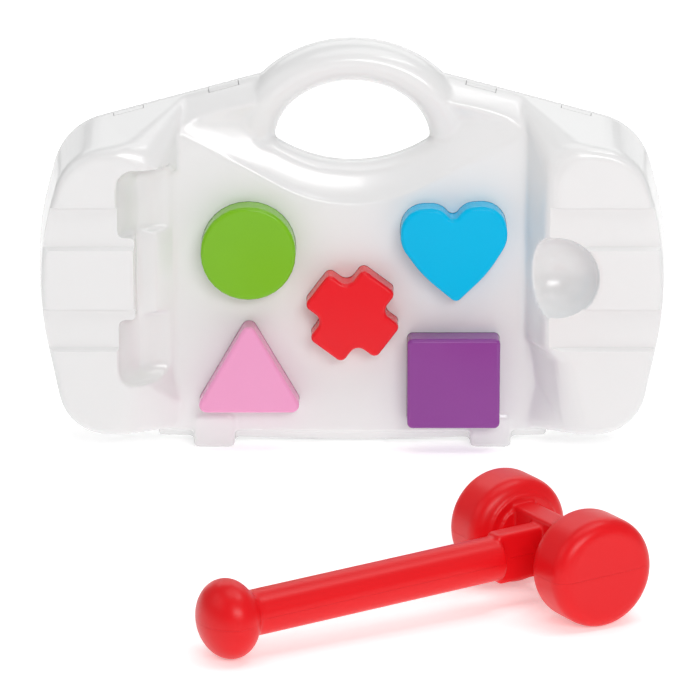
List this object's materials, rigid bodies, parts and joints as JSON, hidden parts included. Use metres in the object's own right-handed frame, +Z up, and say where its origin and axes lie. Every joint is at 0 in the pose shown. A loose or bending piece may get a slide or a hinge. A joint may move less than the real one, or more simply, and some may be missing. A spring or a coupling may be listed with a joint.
{
  "type": "pounding toy",
  "caption": "Plastic carry-case pounding bench with captive sliding shape pegs, a carry handle and storage recesses, and a separate double-headed hammer.",
  "frame": {"origin": "middle of the whole set's footprint, on the surface it stands on", "axes": "+Z up, +X to the right of the front panel, -Y towards the child and the hammer"},
  "size_m": [0.2944, 0.3616, 0.1931],
  "materials": {
    "shell_white": "glossy moulded white plastic",
    "hammer_red": "glossy moulded red plastic",
    "peg_green": "satin gloss moulded plastic",
    "peg_blue": "satin gloss moulded plastic",
    "peg_red": "satin gloss moulded plastic",
    "peg_pink": "satin gloss moulded plastic",
    "peg_purple": "satin gloss moulded plastic",
    "band_grey": "matt soft moulded band",
    "screw_steel": "plated steel"
  },
  "bodies": {
    "bench": {"front_shell": "shell_white", "rear_shell": "shell_white", "shell_screw_1": "screw_steel", "shell_screw_2": "screw_steel", "shell_screw_3": "screw_steel", "shell_screw_4": "screw_steel", "shell_screw_5": "screw_steel", "shell_screw_6": "screw_steel"},
    "circle_peg": {"circle_peg_front": "peg_green", "circle_peg_rear": "peg_green", "circle_peg_band": "band_grey"},
    "heart_peg": {"heart_peg_front": "peg_blue", "heart_peg_rear": "peg_blue", "heart_peg_band": "band_grey"},
    "cross_peg": {"cross_peg_front": "peg_red", "cross_peg_rear": "peg_red", "cross_peg_band": "band_grey"},
    "triangle_peg": {"triangle_peg_front": "peg_pink", "triangle_peg_rear": "peg_pink", "triangle_peg_band": "band_grey"},
    "square_peg": {"square_peg_front": "peg_purple", "square_peg_rear": "peg_purple", "square_peg_band": "band_grey"},
    "hammer": {"hammer_upper_half": "hammer_red", "hammer_lower_half": "hammer_red"}
  },
  "joints": [
    {"name": "circle_slide", "type": "slide", "parent": "bench", "child": "circle_peg", "axis": [0, 1, 0], "range_m": [0, 0.013]},
    {"name": "heart_slide", "type": "slide", "parent": "bench", "child": "heart_peg", "axis": [0, 1, 0], "range_m": [0, 0.013]},
    {"name": "cross_slide", "type": "slide", "parent": "bench", "child": "cross_peg", "axis": [0, 1, 0], "range_m": [0, 0.013]},
    {"name": "triangle_slide", "type": "slide", "parent": "bench", "child": "triangle_peg", "axis": [0, 1, 0], "range_m": [0, 0.013]},
    {"name": "square_slide", "type": "slide", "parent": "bench", "child": "square_peg", "axis": [0, 1, 0], "range_m": [0, 0.013]},
    {"name": "hammer_lift", "type": "slide", "parent": "bench", "child": "hammer", "axis": [0, 0, 1], "range_m": [0, 0.15]}
  ]
}
